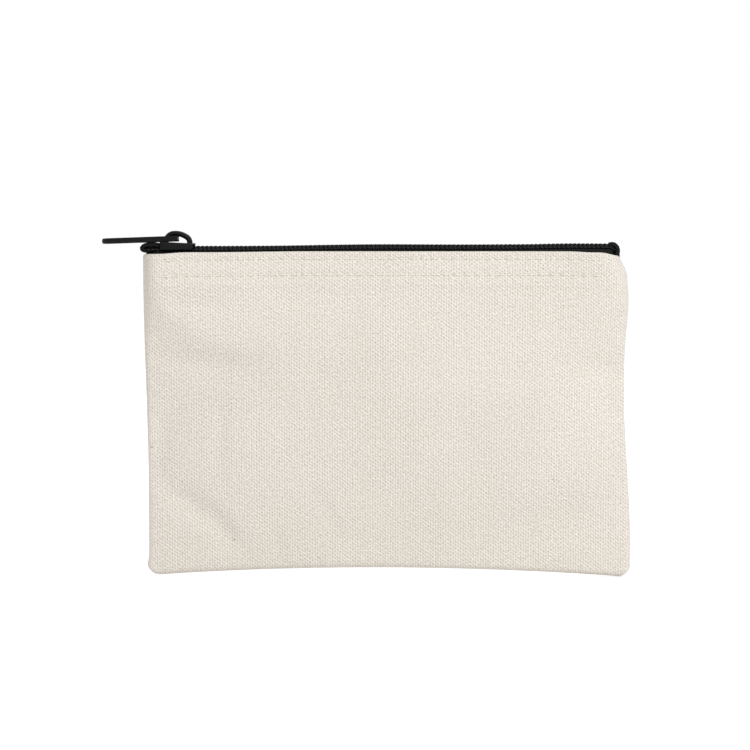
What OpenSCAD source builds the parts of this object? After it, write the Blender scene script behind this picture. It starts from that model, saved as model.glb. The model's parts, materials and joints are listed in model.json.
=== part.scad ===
// Flat zippered pouch: two canvas panels sewn together along the sides and the bottom,
// with a nylon coil zipper across the mouth. The pouch stands on its bottom seam, with the
// zipper along X, the front panel towards -Y and the slider closed at the left (-X) end.

/* [Pouch] */
// Width from side edge to side edge
pouch_w = 152; // [130:1:200]
// Height from the bottom edge to the folded top edge of the canvas
pouch_h = 102.6; // [90:0.1:140]
// Thickness of one layer of canvas
canvas_t = 0.8; // [0.6:0.05:1]
// Half the thickness of the pouch at its mouth
mouth_half = 6.6; // [6.6:0.1:9]
// Half the thickness along the side and bottom edges
edge_half = 1.9; // [1.9:0.1:2.4]
// Half the thickness at the two ends of the mouth
mouth_end_half = 3.2; // [3.2:0.1:4]
// Length over which the lower part of the panels fills out from each side edge
side_taper = 45; // [30:1:60]
// Length over which the mouth fills out from each side edge
mouth_taper = 5; // [4:0.5:5]
// Radius of the two bottom corners
corner_r = 4; // [2:0.5:8]

/* [Hem and topstitching] */
// Depth of the canvas folded in along the mouth
hem_depth = 11; // [9:0.5:14]
// Distance from the folded edge to the upper row of topstitching
upper_row = 2.2; // [1.8:0.1:3]
// Distance from the folded edge to the lower row of topstitching
lower_row = 7.2; // [5:0.1:8]
// Distance from one stitch to the next
stitch_pitch = 3.35; // [3:0.05:4]
// Length of thread that shows in each stitch
stitch_len = 2.7; // [2:0.1:2.8]
// Diameter of the sewing thread
thread_d = 0.4; // [0.3:0.05:0.45]

/* [Seams] */
// Width of canvas turned inside along the side and bottom seams
seam_allowance = 9; // [7:0.5:10]
// Width of the overlock thread round the raw edge of each seam
overlock_w = 4; // [3:0.5:5]
// Thickness of the overlock thread
overlock_t = 0.25; // [0.2:0.05:0.25]

/* [Zipper chain] */
// Thickness of the zipper tape
tape_t = 0.5; // [0.4:0.05:0.5]
// Distance from one turn of the coil to the next
coil_pitch = 1.35; // [1.2:0.05:1.5]
// Width of one half of the coil
coil_w = 2.55; // [2.4:0.05:2.6]
// Height of the coil above the tape
coil_h = 2.1; // [1.8:0.1:2.1]
// Gap between the two halves of the coil, where the slider's web runs
chain_gap = 1.1; // [1:0.1:1.3]
// Length of chain at each end of the mouth that is sewn into the side seam
chain_end = 16.6; // [16.5:0.1:20]

/* [Slider] */
// Distance from the side edge to the slider when it is closed
slider_inset = 5.35; // [5.2:0.05:5.5]
// Length of the slider
slider_len = 10.8; // [10.5:0.1:11]
// Width of the slider at its nose
nose_w = 9.6; // [9.4:0.1:9.8]
// Width of the slider at its tail
tail_w = 8.2; // [8:0.1:8.4]
// Width of the crown
crown_w = 2.6; // [2.2:0.1:2.8]
// Thickness of the crown's bar and legs
crown_t = 1.7; // [1.5:0.1:1.8]

/* [Pull tab] */
// Distance from the tab's pivot to its tip
tab_reach = 23.25; // [18:0.25:30]
// Width of the tab near its tip
tab_w = 7.4; // [6.5:0.1:9]
// Thickness of the tab
tab_t = 1.5; // [1.2:0.1:1.5]
// Angle by which the tab lies below the level at rest
tab_droop = 2; // [0:0.5:2]

/* [Hidden] */

canvas_colour = "#e5ded4";
thread_colour = "#e9e1d2";
tape_colour = "#202120";
coil_colour = "#1a1b1a";
metal_colour = "#191918";
spring_colour = "#8d9093";

// Everything is drawn with its left side edge at x = 0 and then moved, so that the origin
// lies below the middle of the whole object, pull tab included.
pivot_x = slider_inset + 5;
tab_tip_x = pivot_x - tab_reach * cos(tab_droop);
end_overhang = 0.3;
left_x = -(tab_tip_x + pouch_w + end_overhang) / 2;

// Heights of the zipper, measured from the folded edge of the canvas
tape_z = pouch_h - 0.7;
coil_z = tape_z + tape_t;
chain_top = coil_z + coil_h;
hem_z = pouch_h - hem_depth;
hem_step = 0.3;
full_z = hem_z - 2;

clearance = 0.3;
panel_inset = 0.4;
panel_lift = 0.3;
leg_outer = mouth_half - 2 * canvas_t;
leg_inner = leg_outer - tape_t;
seam_half = canvas_t;
seam_top = hem_z - 1;
stitch_margin = 6;

function blend(a, b, t) = a + (b - a) * t;
function clamp01(t) = min(max(t, 0), 1);
function smooth(t) = t * t * (3 - 2 * t);
// Rises from 0 to 1 over the given length and then stays flat
function fill_out(t) = 1 - pow(1 - clamp01(t), 2);

// Distance from the nearer side edge
function from_side(x) = min(x, pouch_w - x);

// Half the outer thickness of the pouch at a place on the panel
function outer_half(x, z) =
    let (high = smooth(clamp01((z - pouch_h * 0.6) / (full_z - pouch_h * 0.6))))
    let (edge = blend(edge_half, mouth_end_half, high))
    let (middle = blend(edge_half, mouth_half, fill_out(z / full_z)))
    let (taper = blend(side_taper, mouth_taper, high))
    blend(edge, max(edge, middle), fill_out(from_side(x) / taper));

// Height of the panel's bottom edge, which rises round the corners
function bottom_z(x) =
    let (past = max(corner_r - from_side(x), 0))
    panel_lift + corner_r - sqrt(corner_r * corner_r - past * past);

// Points along a circular arc
function arc(centre, radius, from, to, steps = 6) = [
    for (i = [0:steps])
        let (a = from + (to - from) * i / steps)
        centre + radius * [cos(a), sin(a)]
];

// A canvas panel, one layer thick, with a second layer folded in behind it along the mouth
module panel_shell() {
    columns = 40;
    low_rows = 15;
    heights = [for (i = [0:low_rows]) hem_z * i / low_rows, hem_z + hem_step, pouch_h];
    rows = len(heights) - 1;
    row_len = columns + 1;
    layer = row_len * (rows + 1);
    span = pouch_w - 2 * panel_inset;
    outer = [
        for (z = heights) for (i = [0:columns])
            let (x = panel_inset + span * (1 - cos(180 * i / columns)) / 2)
            let (rise = bottom_z(x) * (1 - clamp01(z / hem_z)))
            [x, -outer_half(x, z), z + rise]
    ];
    inner = [for (p = outer) p + [0, p[2] > hem_z + hem_step / 2 ? 2 * canvas_t : canvas_t, 0]];
    outer_faces = [
        for (r = [0:rows - 1]) for (i = [0:columns - 1])
            let (a = r * row_len + i)
            each [[a, a + row_len, a + 1], [a + 1, a + row_len, a + row_len + 1]]
    ];
    inner_faces = [for (f = outer_faces) [f[2] + layer, f[1] + layer, f[0] + layer]];
    // The four edges of the sheet, walked so that the sheet's outer face is on the left
    loop = [
        for (i = [0:columns]) i,
        for (r = [1:rows]) r * row_len + columns,
        for (i = [1:columns]) rows * row_len + columns - i,
        for (r = [1:rows - 1]) (rows - r) * row_len
    ];
    edge_faces = [
        for (k = [0:len(loop) - 1])
            let (a = loop[k])
            let (b = loop[(k + 1) % len(loop)])
            each [[a, b, a + layer], [b, b + layer, a + layer]]
    ];
    polyhedron(concat(outer, inner), concat(outer_faces, inner_faces, edge_faces), convexity = 6);
}

// A row of stitches along X, lying on the panel's outer face
module topstitch(depth) {
    count = floor((pouch_w - 2 * stitch_margin) / stitch_pitch);
    first = (pouch_w - (count - 1) * stitch_pitch - stitch_len) / 2;
    for (i = [0:count - 1])
        translate([first + i * stitch_pitch, -mouth_half - thread_d / 2 - 0.02, pouch_h - depth])
            rotate([0, 90, 0])
                cylinder(d = thread_d, h = stitch_len, $fn = 16);
}

// The tape between the sewn ends: a leg behind the hem, and a shelf that carries the coil
module tape_half() {
    translate([mouth_taper + clearance, -leg_outer, hem_z - 0.4])
        cube([pouch_w - 2 * (mouth_taper + clearance), tape_t, coil_z - hem_z + 0.4]);
    translate([chain_end + clearance, -leg_outer, tape_z])
        cube([pouch_w - 2 * (chain_end + clearance), leg_outer - chain_gap / 2 - 0.2, tape_t]);
}

// Coil section: each turn is a flat loop, closed by its head and by the spine
wire_d = 0.65;
spine_w = 0.5;
head_len = 0.75;
coil_far = -chain_gap / 2 - coil_w;
coil_near = -chain_gap / 2;

// Outline of the turns from above, as heads that stand on a spine
module comb_outline(from, to, count) {
    head_w = coil_pitch * 0.55;
    neck = coil_far + spine_w;
    heads = [
        for (i = [count - 1:-1:0])
            let (x = from + (i + 0.5) * (to - from) / count)
            each [
                [x + head_w * 0.35, neck], [x + head_w / 2, coil_near - 0.5],
                [x + head_w * 0.3, coil_near], [x - head_w * 0.3, coil_near],
                [x - head_w / 2, coil_near - 0.5], [x - head_w * 0.35, neck]
            ]
    ];
    polygon(concat([[from, coil_far], [to, coil_far], [to, neck]], heads, [[from, neck]]));
}

// One half of the coil: the turns run over and under the hollow that holds the filler cord
module coil_half(from, to) {
    count = floor((to - from) / coil_pitch);
    translate([0, 0, coil_z])
        difference() {
            linear_extrude(coil_h)
                comb_outline(from, to, count);
            translate([from - 1, coil_far + spine_w, wire_d])
                cube([to - from + 2, coil_w - spine_w - head_len, coil_h - 2 * wire_d]);
        }
}

// The cord that the coil is wound round
module filler_cord(from, to) {
    cord_d = 0.7;
    translate([from, (coil_far + spine_w + coil_near - head_len) / 2, coil_z + coil_h / 2])
        rotate([0, 90, 0])
            cylinder(d = cord_d, h = to - from, $fn = 24);
}

// Two lines of chain stitch that hold the coil to the tape
module coil_thread(from, to) {
    line_d = 0.24;
    for (y = [0.35, 1.15])
        translate([from, coil_far + y - 0.1, chain_top + line_d / 2])
            rotate([0, 90, 0])
                cylinder(d = line_d, h = to - from, $fn = 16);
}

// The same half of the zipper or wall on the other side of the mouth
module other_side() {
    mirror([0, 1, 0])
        children();
}

// The same end of the pouch on the right
module right_end() {
    translate([pouch_w, 0, 0])
        mirror([1, 0, 0])
            children();
}

// The sewn edges of both panels, turned inside along one side
module side_seam() {
    translate([0, -seam_half, seam_allowance + 0.1])
        cube([seam_allowance, 2 * seam_half, seam_top - seam_allowance - 0.1]);
}

// The lockstitch that joins the panels along one side, seen on both faces of the seam
module side_seam_thread() {
    stitches = floor((seam_top - seam_allowance) / stitch_pitch);
    for (i = [0:stitches - 1]) for (side = [-1, 1])
        translate([3, side * (seam_half + thread_d / 2), seam_allowance + 0.5 + i * stitch_pitch])
            cylinder(d = thread_d, h = stitch_len, $fn = 16);
}

// A binding of thread round a raw edge that runs along Z and faces +X
module overlock(length) {
    linear_extrude(length)
        difference() {
            translate([-overlock_w, -seam_half - overlock_t])
                square([overlock_w + overlock_t, 2 * (seam_half + overlock_t)]);
            translate([-overlock_w - 1, -seam_half])
                square([overlock_w + 1, 2 * seam_half]);
        }
}

module side_overlock() {
    translate([seam_allowance, 0, seam_allowance + overlock_w])
        overlock(seam_top - seam_allowance - overlock_w);
}

// The ends of both tapes: two short shelves, and the fold that is caught in the side seam
module tape_end() {
    fold_len = 3;
    fold_half = 1.3;
    union() {
        translate([-end_overhang, -fold_half, seam_top + 0.2])
            cube([fold_len + end_overhang, 2 * fold_half, tape_z + tape_t - seam_top - 0.2]);
        for (side = [-1, 1])
            translate([fold_len - 0.5, side > 0 ? chain_gap / 2 + 0.2 : -leg_inner + 1, tape_z])
                cube([chain_end - fold_len + 0.5, leg_inner - 1 - chain_gap / 2 - 0.2, tape_t]);
    }
}

// The ends of both coil halves, gathered into one rounded knob beyond the slider
module coil_end() {
    knob_len = 3.4;
    knob_half = 1.9;
    knob_top = chain_top + 0.55;
    union() {
        coil_half(knob_len - 0.4, chain_end);
        other_side()
            coil_half(knob_len - 0.4, chain_end);
        translate([knob_len / 2 - end_overhang / 2, 0, coil_z])
            intersection() {
                translate([-(knob_len + end_overhang) / 2, -knob_half, 0])
                    cube([knob_len + end_overhang, 2 * knob_half, knob_top - coil_z]);
                translate([0, knob_half + 1, -0.6])
                    rotate([90, 0, 0])
                        cylinder(r = knob_top - coil_z + 0.6, h = 2 * knob_half + 2, $fn = 48);
            }
    }
}

// Slider levels: the channel holds the coil, and the tapes leave through a slot on each side
flange_z = tape_z + tape_t + 0.5;
channel_top = chain_top + 0.3;
plate_nose = channel_top + 0.8;
plate_tail = channel_top + 0.3;
lower_top = tape_z - 0.5;
lower_t = 1.1;
web_w = chain_gap - 0.3;

function plate_z(x) = blend(plate_nose, plate_tail, x / slider_len);

// Plan of the slider: wide round nose, narrower tail
module slider_plan(nose, tail) {
    nose_r = 2;
    tail_r = 1;
    polygon(concat(
        arc([nose_r, nose / 2 - nose_r], nose_r, 180, 90),
        arc([slider_len - tail_r, tail / 2 - tail_r], tail_r, 90, 0),
        arc([slider_len - tail_r, tail_r - tail / 2], tail_r, 0, -90),
        arc([nose_r, nose_r - nose / 2], nose_r, -90, -180)
    ));
}

// Turns a profile drawn as x against z into a bar that is centred on y = 0
module across(width) {
    translate([0, width / 2, 0])
        rotate([90, 0, 0])
            linear_extrude(width)
                children();
}

// The crown's two ends along the slider, and the spring inside it
crown_start = 0.85;
crown_end = slider_len - 0.6;
spring_t = 0.3;
spring_w = 1.2;
spring_z = pouch_h + 4.85;
spring_x = crown_end - crown_t + 0.1;

module slider_at_rest() {
    translate([slider_inset, 0, 0])
        children();
}

module slider_cast() {
    channel_half = chain_gap / 2 + coil_w + 0.3;
    difference() {
        union() {
            intersection() {
                translate([0, 0, flange_z])
                    linear_extrude(plate_nose - flange_z)
                        slider_plan(nose_w, tail_w);
                across(nose_w)
                    polygon([
                        [0, flange_z], [slider_len, flange_z],
                        [slider_len, plate_tail], [0, plate_nose]
                    ]);
            }
            translate([0, 0, lower_top - lower_t])
                linear_extrude(lower_t)
                    slider_plan(nose_w - 1.4, tail_w - 0.8);
            translate([0.7, -web_w / 2, lower_top - 0.1])
                cube([2.8, web_w, channel_top - lower_top + 0.2]);
        }
        // Channel on both sides of the web
        for (side = [-1, 1])
            translate([-1, side > 0 ? web_w / 2 : -channel_half, flange_z - 1])
                cube([slider_len + 2, channel_half - web_w / 2, channel_top - flange_z + 1]);
        translate([3.5, -web_w, flange_z - 1])
            cube([slider_len, 2 * web_w, channel_top - flange_z + 1]);
        translate([-1, -web_w, flange_z - 1])
            cube([1.7, 2 * web_w, channel_top - flange_z + 1]);
        // Hole for the lock spring's pin
        translate([spring_x - 0.15, -spring_w / 2 - 0.1, channel_top - 0.5])
            cube([spring_t + 0.3, spring_w + 0.2, 3]);
    }
}

module crown_arch() {
    start = crown_start;
    end = crown_end;
    top = pouch_h + 6.4;
    under = top - crown_t;
    round_out = 2.2;
    round_in = 0.9;
    difference() {
        across(crown_w)
            polygon(concat(
                [[start, plate_z(start)]],
                arc([start + round_out, top - round_out], round_out, 180, 90),
                arc([end - round_out, top - round_out], round_out, 90, 0),
                [[end, plate_z(end)], [end - crown_t, plate_z(end - crown_t)]],
                arc([end - crown_t - round_in, under - round_in], round_in, 0, 90),
                arc([start + crown_t + round_in, under - round_in], round_in, 90, 180),
                [[start + crown_t, plate_z(start + crown_t)]]
            ));
        // Recess for the lock spring, along the underside and down the rear leg
        translate([start + crown_t + 0.2, -spring_w / 2 - 0.1, under - 1.2])
            cube([end - start - 2 * crown_t, spring_w + 0.2, spring_z + spring_t + 0.1 - under + 1.2]);
        translate([spring_x - 0.1, -spring_w / 2 - 0.1, plate_tail - 1])
            cube([spring_t + 0.2, spring_w + 0.2, spring_z - plate_tail + 1.3]);
    }
}

// A bent steel leaf: it lies under the crown's bar and ends in the pin that locks the chain
module spring_leaf() {
    start = crown_start + crown_t + 0.4;
    pin_w = 0.5;
    pin_z = channel_top - 0.6;
    union() {
        translate([start, -spring_w / 2, spring_z])
            cube([spring_x + spring_t - start, spring_w, spring_t]);
        translate([spring_x, -pin_w / 2, pin_z])
            cube([spring_t, pin_w, spring_z - pin_z + spring_t]);
    }
}

// The tab, drawn pointing to -X from its pivot at the origin
module tab_blade() {
    bar_d = 1.3;
    eye_half = crown_w / 2 + 0.4;
    eye_len = 6.2;
    root_half = eye_half + 1.2;
    root_r = 0.6;
    tip_r = tab_w / 2 - 0.6;
    shoulder = 11;
    union() {
        difference() {
            translate([0, 0, -tab_t / 2])
                linear_extrude(tab_t)
                    polygon(concat(
                        arc([bar_d / 2 - root_r, root_half - root_r], root_r, 0, 90),
                        [[-eye_len, root_half], [-shoulder, tab_w / 2]],
                        arc([tip_r - tab_reach, tab_w / 2 - tip_r], tip_r, 90, 180),
                        arc([tip_r - tab_reach, tip_r - tab_w / 2], tip_r, 180, 270),
                        [[-shoulder, -tab_w / 2], [-eye_len, -root_half]],
                        arc([bar_d / 2 - root_r, root_r - root_half], root_r, -90, 0)
                    ));
            translate([-eye_len, -eye_half, -tab_t])
                cube([eye_len + bar_d, 2 * eye_half, 2 * tab_t]);
        }
        translate([0, root_half, 0])
            rotate([90, 0, 0])
                cylinder(d = bar_d, h = 2 * root_half, $fn = 32);
    }
}

tab_pivot_z = pouch_h + 4;

module placed(colour) {
    color(colour)
        translate([left_x, 0, 0])
            children();
}

coil_from = chain_end + clearance;
coil_to = pouch_w - chain_end - clearance;

module front_panel() placed(canvas_colour) panel_shell();
module front_zipper_tape() placed(tape_colour) tape_half();
module front_coil() placed(coil_colour) coil_half(coil_from, coil_to);
module front_filler_cord() placed(tape_colour) filler_cord(coil_from, coil_to);
module front_coil_thread() placed(tape_colour) coil_thread(coil_from, coil_to);
module front_upper_topstitch() placed(thread_colour) topstitch(upper_row);
module front_lower_topstitch() placed(thread_colour) topstitch(lower_row);

module back_panel() placed(canvas_colour) other_side() panel_shell();
module back_zipper_tape() placed(tape_colour) other_side() tape_half();
module back_coil() placed(coil_colour) other_side() coil_half(coil_from, coil_to);
module back_filler_cord() placed(tape_colour) other_side() filler_cord(coil_from, coil_to);
module back_coil_thread() placed(tape_colour) other_side() coil_thread(coil_from, coil_to);
module back_upper_topstitch() placed(thread_colour) other_side() topstitch(upper_row);
module back_lower_topstitch() placed(thread_colour) other_side() topstitch(lower_row);

module left_side_seam() placed(canvas_colour) side_seam();
module right_side_seam() placed(canvas_colour) right_end() side_seam();
module bottom_seam() placed(canvas_colour)
    translate([0, seam_half, 0])
        rotate([90, 0, 0])
            linear_extrude(2 * seam_half)
                polygon(concat(
                    [[0, seam_allowance]],
                    arc([corner_r, corner_r], corner_r, 180, 270),
                    arc([pouch_w - corner_r, corner_r], corner_r, 270, 360),
                    [[pouch_w, seam_allowance]]
                ));

module left_seam_thread() placed(thread_colour) side_seam_thread();
module right_seam_thread() placed(thread_colour) right_end() side_seam_thread();
module bottom_seam_thread() placed(thread_colour) {
    margin = seam_allowance + 2;
    stitches = floor((pouch_w - 2 * margin) / stitch_pitch);
    for (i = [0:stitches - 1]) for (side = [-1, 1])
        translate([margin + i * stitch_pitch, side * (seam_half + thread_d / 2), 3])
            rotate([0, 90, 0])
                cylinder(d = thread_d, h = stitch_len, $fn = 16);
}

module left_overlock() placed(thread_colour) side_overlock();
module right_overlock() placed(thread_colour) right_end() side_overlock();
module bottom_overlock() placed(thread_colour)
    translate([seam_allowance + overlock_w, 0, seam_allowance])
        rotate([0, -90, 180])
            overlock(pouch_w - 2 * (seam_allowance + overlock_w));

module left_tape_end() placed(tape_colour) tape_end();
module right_tape_end() placed(tape_colour) right_end() tape_end();
module left_coil_end() placed(coil_colour) coil_end();
module right_coil_end() placed(coil_colour) right_end() coil_end();

module slider_body() placed(metal_colour) slider_at_rest() slider_cast();
module slider_crown() placed(metal_colour) slider_at_rest() crown_arch();
module lock_spring() placed(spring_colour) slider_at_rest() spring_leaf();
module pull_tab() placed(metal_colour)
    translate([pivot_x, 0, tab_pivot_z])
        rotate([0, -tab_droop, 0])
            tab_blade();

front_panel();
front_zipper_tape();
front_coil();
front_filler_cord();
front_coil_thread();
front_upper_topstitch();
front_lower_topstitch();
back_panel();
back_zipper_tape();
back_coil();
back_filler_cord();
back_coil_thread();
back_upper_topstitch();
back_lower_topstitch();
left_side_seam();
right_side_seam();
bottom_seam();
left_seam_thread();
right_seam_thread();
bottom_seam_thread();
left_overlock();
right_overlock();
bottom_overlock();
left_tape_end();
right_tape_end();
left_coil_end();
right_coil_end();
slider_body();
slider_crown();
lock_spring();
pull_tab();
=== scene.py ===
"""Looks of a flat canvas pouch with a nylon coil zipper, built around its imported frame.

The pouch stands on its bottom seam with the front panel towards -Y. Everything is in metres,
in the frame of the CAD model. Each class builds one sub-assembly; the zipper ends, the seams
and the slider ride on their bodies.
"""

import json
import logging
import math
from dataclasses import dataclass, field
from enum import Enum
from typing import Callable

import bmesh
import bpy
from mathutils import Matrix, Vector, noise


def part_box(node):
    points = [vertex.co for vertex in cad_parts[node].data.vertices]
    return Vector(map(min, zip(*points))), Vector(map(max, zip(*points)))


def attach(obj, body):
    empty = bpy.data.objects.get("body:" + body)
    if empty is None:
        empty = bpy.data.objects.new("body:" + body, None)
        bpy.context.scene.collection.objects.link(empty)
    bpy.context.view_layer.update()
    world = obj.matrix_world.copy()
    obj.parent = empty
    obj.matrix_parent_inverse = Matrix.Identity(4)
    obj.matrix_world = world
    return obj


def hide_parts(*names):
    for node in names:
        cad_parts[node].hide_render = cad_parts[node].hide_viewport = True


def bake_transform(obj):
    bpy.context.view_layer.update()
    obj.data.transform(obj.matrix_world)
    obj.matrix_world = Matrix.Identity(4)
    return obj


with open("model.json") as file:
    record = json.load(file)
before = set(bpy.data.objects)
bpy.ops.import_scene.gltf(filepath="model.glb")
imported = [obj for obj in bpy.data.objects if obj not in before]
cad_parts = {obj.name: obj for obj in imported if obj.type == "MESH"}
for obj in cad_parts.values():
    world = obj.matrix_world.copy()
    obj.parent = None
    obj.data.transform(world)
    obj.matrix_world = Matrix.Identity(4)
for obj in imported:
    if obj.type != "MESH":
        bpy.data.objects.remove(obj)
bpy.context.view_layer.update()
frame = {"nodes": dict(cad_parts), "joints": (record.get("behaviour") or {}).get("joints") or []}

log = logging.getLogger("pouch")

MM = 0.001
SEAMS = "pouch_seams"
UV_START = 0.2

Socket = bpy.types.NodeSocket
Piece = bpy.types.Object
Point = tuple[float, float, float]


class Face(Enum):
    """The two walls of the pouch, by the sign of Y that they face."""

    FRONT = -1
    BACK = 1

    @property
    def label(self) -> str:
        """Name of the wall, as in the names of its nodes."""
        return self.name.lower()

    @property
    def body(self) -> str:
        """CAD body that carries this wall."""
        return f"{self.label}_wall"


class End(Enum):
    """The two ends of the mouth."""

    LEFT = -1
    RIGHT = 1

    @property
    def label(self) -> str:
        """Name of the end, as in the names of its nodes."""
        return self.name.lower()


# ---------------------------------------------------------------- small formulas


def clamp(value: float) -> float:
    """Limits a share to the range from 0 to 1."""
    return min(max(value, 0.0), 1.0)


def ease(value: float) -> float:
    """Smooth step from 0 to 1."""
    t = clamp(value)
    return t * t * (3 - 2 * t)


def mix(a: float, b: float, share: float) -> float:
    """Point between a and b at that share."""
    return a + (b - a) * share


def fill_out(value: float) -> float:
    """Rises from 0 to 1 and arrives flat."""
    return 1 - (1 - clamp(value)) ** 2


def round_off(value: float) -> float:
    """Quarter circle: leaves 0 steeply and arrives at 1 flat."""
    return math.sqrt(max(0.0, 1 - (1 - clamp(value)) ** 2))


def hill(value: float) -> float:
    """Bell curve of height 1."""
    return math.exp(-value * value)


# ---------------------------------------------------------------- shader graphs


@dataclass
class Graph:
    """A node tree with short calls for adding and linking nodes.

    Args:
        tree: The material's or group's node tree.
    """

    tree: bpy.types.NodeTree

    def add(self, kind: str, inputs: dict | None = None, **settings: object) -> bpy.types.Node:
        """Adds a node, applies its settings and feeds its inputs.

        Args:
            kind: Blender's type name of the node.
            inputs: Input name or index to a value or a socket.
            settings: Attributes of the node.

        Returns:
            The new node.
        """
        node = self.tree.nodes.new(kind)
        for name, value in settings.items():
            setattr(node, name, value)
        self.feed(node, inputs or {})
        return node

    def feed(self, node: bpy.types.Node, inputs: dict) -> None:
        """Feeds a node's inputs.

        Args:
            node: The node.
            inputs: Input name or index to a value or a socket.
        """
        for name, value in inputs.items():
            if isinstance(value, Socket):
                self.tree.links.new(value, node.inputs[name])
            else:
                node.inputs[name].default_value = value

    def math(self, operation: str, a: object, b: object = 0.0, c: object = 0.0) -> Socket:
        """Adds a Math node.

        Args:
            operation: Name of the operation.
            a: First value or socket.
            b: Second value or socket.
            c: Third value or socket.

        Returns:
            The result's socket.
        """
        return self.add("ShaderNodeMath", {0: a, 1: b, 2: c}, operation=operation).outputs[0]

    def span(self, value: Socket, low: float, high: float, to_low: float, to_high: float) -> Socket:
        """Maps a value's range smoothly onto another.

        Args:
            value: The socket to map.
            low: Value that becomes to_low.
            high: Value that becomes to_high.
            to_low: Lowest result.
            to_high: Highest result.

        Returns:
            The mapped socket.
        """
        inputs = {0: value, 1: low, 2: high, 3: to_low, 4: to_high}
        return self.add("ShaderNodeMapRange", inputs, interpolation_type="SMOOTHSTEP").outputs[0]

    def blend(self, share: Socket, a: object, b: object) -> Socket:
        """Mixes two colours.

        Args:
            share: Share of the second colour.
            a: First colour or socket.
            b: Second colour or socket.

        Returns:
            The mixed colour's socket.
        """
        return self.add("ShaderNodeMix", {0: share, 6: a, 7: b}, data_type="RGBA").outputs[2]

    def noise(self, vector: Socket, scale: float | Socket, detail: float = 3.0) -> Socket:
        """Adds a noise texture and gives its value, 0 to 1."""
        return self.add("ShaderNodeTexNoise", {"Vector": vector, "Scale": scale, "Detail": detail}).outputs[0]


def new_group(name: str, inputs: dict[str, float | None], outputs: list[str]) -> tuple[Graph, dict, dict]:
    """Makes a shader node group.

    Args:
        name: The group's name.
        inputs: Input name to its default value, or None for a vector.
        outputs: Names of its value outputs.

    Returns:
        The group's graph, its input sockets and its output sockets, both by name.
    """
    tree = bpy.data.node_groups.new(name, "ShaderNodeTree")
    for label, value in inputs.items():
        kind = "NodeSocketVector" if value is None else "NodeSocketFloat"
        socket = tree.interface.new_socket(label, in_out="INPUT", socket_type=kind)
        if value is not None:
            socket.default_value = value
    for label in outputs:
        tree.interface.new_socket(label, in_out="OUTPUT", socket_type="NodeSocketFloat")
    graph = Graph(tree)
    entry = graph.add("NodeGroupInput")
    leave = graph.add("NodeGroupOutput")
    return graph, dict(entry.outputs.items()), dict(leave.inputs.items())


def plain_weave_group() -> bpy.types.NodeTree:
    """Plain weave of uneven yarns: their height, a mask of the gaps between them for painted shade, and a tone for
    each yarn.

    Returns:
        The node tree.
    """
    graph, given, out = new_group(
        "Plain weave",
        {"Vector": None, "Warp Pitch": 0.0008, "Weft Pitch": 0.0006, "Waviness": 0.0001, "Twist": 0.3},
        ["Height", "Gap", "Yarn Tone"],
    )
    drift = graph.add("ShaderNodeTexNoise", {"Vector": given["Vector"], "Scale": 420.0, "Detail": 2.0})
    shifted = graph.add("ShaderNodeVectorMath", {0: drift.outputs[1], 1: (0.5, 0.5, 0.5)}, operation="SUBTRACT")
    scaled = graph.add(
        "ShaderNodeVectorMath", {0: shifted.outputs[0], "Scale": given["Waviness"]}, operation="SCALE"
    )
    wavy = graph.add("ShaderNodeVectorMath", {0: given["Vector"], 1: scaled.outputs[0]}, operation="ADD")
    place = graph.add("ShaderNodeSeparateXYZ", {0: wavy.outputs[0]})
    across = graph.math("DIVIDE", place.outputs[0], given["Warp Pitch"])
    along = graph.math("DIVIDE", place.outputs[1], given["Weft Pitch"])
    warp_no, weft_no = graph.math("FLOOR", across), graph.math("FLOOR", along)
    in_warp = graph.math("SUBTRACT", graph.math("FRACT", across), 0.5)
    in_weft = graph.math("SUBTRACT", graph.math("FRACT", along), 0.5)
    odd = graph.math("PINGPONG", graph.math("ADD", warp_no, weft_no), 1.0)
    turn = graph.math("MULTIPLY_ADD", odd, -0.76, 0.38)

    def crown(offset: Socket, curve: float) -> Socket:
        """Round section of a yarn, from 1 at its middle."""
        return graph.math("MULTIPLY_ADD", graph.math("MULTIPLY", offset, offset), -curve, 1.0)

    def bow(offset: Socket) -> Socket:
        """Half wave of a yarn between two crossings."""
        return graph.math("COSINE", graph.math("MULTIPLY", offset, math.pi))

    warp_up = graph.math("MULTIPLY_ADD", bow(in_weft), turn, crown(in_warp, 4.2))
    lowered = graph.math("MULTIPLY", turn, -1.0)
    bowed = graph.math("MULTIPLY_ADD", bow(in_warp), lowered, crown(in_weft, 1.6))
    weft_up = graph.math("SUBTRACT", bowed, 0.42)
    wave_across = graph.math("COSINE", graph.math("MULTIPLY", across, math.pi))
    wave_along = graph.math("COSINE", graph.math("MULTIPLY", along, math.pi))
    twist = graph.math("MULTIPLY", graph.math("MULTIPLY", wave_across, wave_along), given["Twist"])
    height = graph.math("SUBTRACT", graph.math("MAXIMUM", warp_up, weft_up), twist)
    graph.tree.links.new(graph.math("MULTIPLY", height, 0.6), out["Height"])
    # Painted shade: the mask is 1 in the low gaps between the yarns, where the materials darken the colour.
    graph.tree.links.new(graph.span(height, 0.1, 1.45, 1.0, 0.0), out["Gap"])
    warp_tone = graph.add("ShaderNodeTexWhiteNoise", {"W": warp_no}, noise_dimensions="1D").outputs[0]
    moved = graph.math("ADD", weft_no, 900.5)
    weft_tone = graph.add("ShaderNodeTexWhiteNoise", {"W": moved}, noise_dimensions="1D").outputs[0]
    on_top = graph.math("GREATER_THAN", warp_up, weft_up)
    tone = graph.add("ShaderNodeMix", {0: on_top, 2: weft_tone, 3: warp_tone}, data_type="FLOAT")
    graph.tree.links.new(tone.outputs[0], out["Yarn Tone"])
    return graph.tree


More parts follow.
